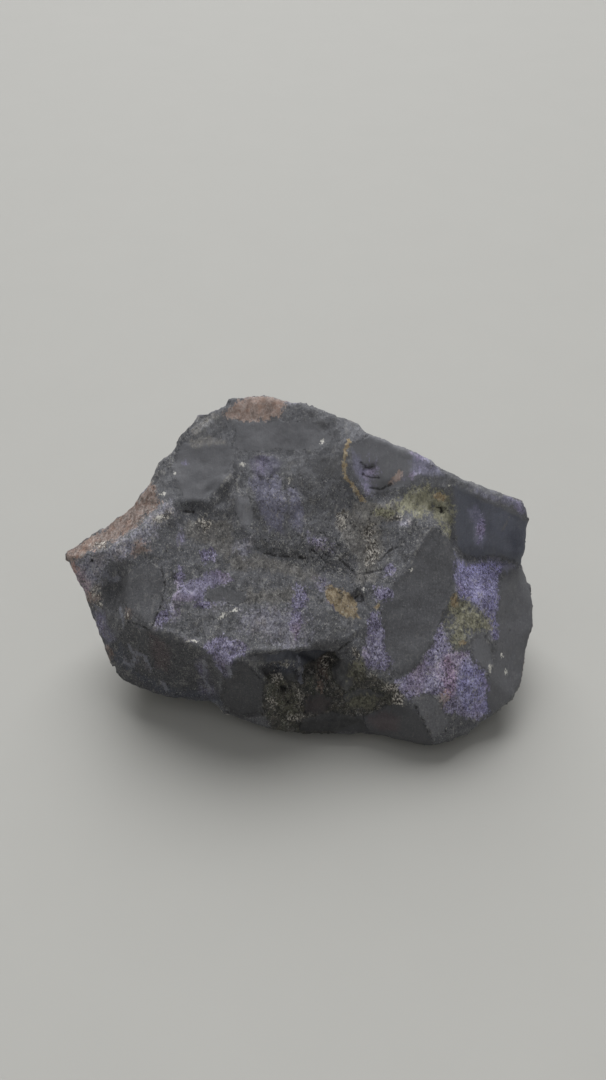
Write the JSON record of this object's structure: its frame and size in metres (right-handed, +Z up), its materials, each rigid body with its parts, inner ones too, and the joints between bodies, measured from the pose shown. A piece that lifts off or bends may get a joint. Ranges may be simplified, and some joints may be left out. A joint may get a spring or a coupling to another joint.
{
  "type": "phosphosiderite specimen",
  "caption": "Rough hand-sized stone of dark grey rock with purple phosphosiderite patches, olive and rusty crusts, broken faces and ledges, lying on a flat base.",
  "frame": {"origin": "centre of the bounding box at its bottom, on the flat base that the stone rests on", "axes": "+X to the right along the longest side, +Y away from the front ledge towards the back, +Z up"},
  "size_m": [0.0854, 0.0558, 0.0444],
  "materials": {
    "matrix": "matt broken dark grey rock with purple, lilac, olive and rusty orange patches"
  },
  "bodies": {
    "root": {"stone": "matrix"}
  },
  "joints": []
}
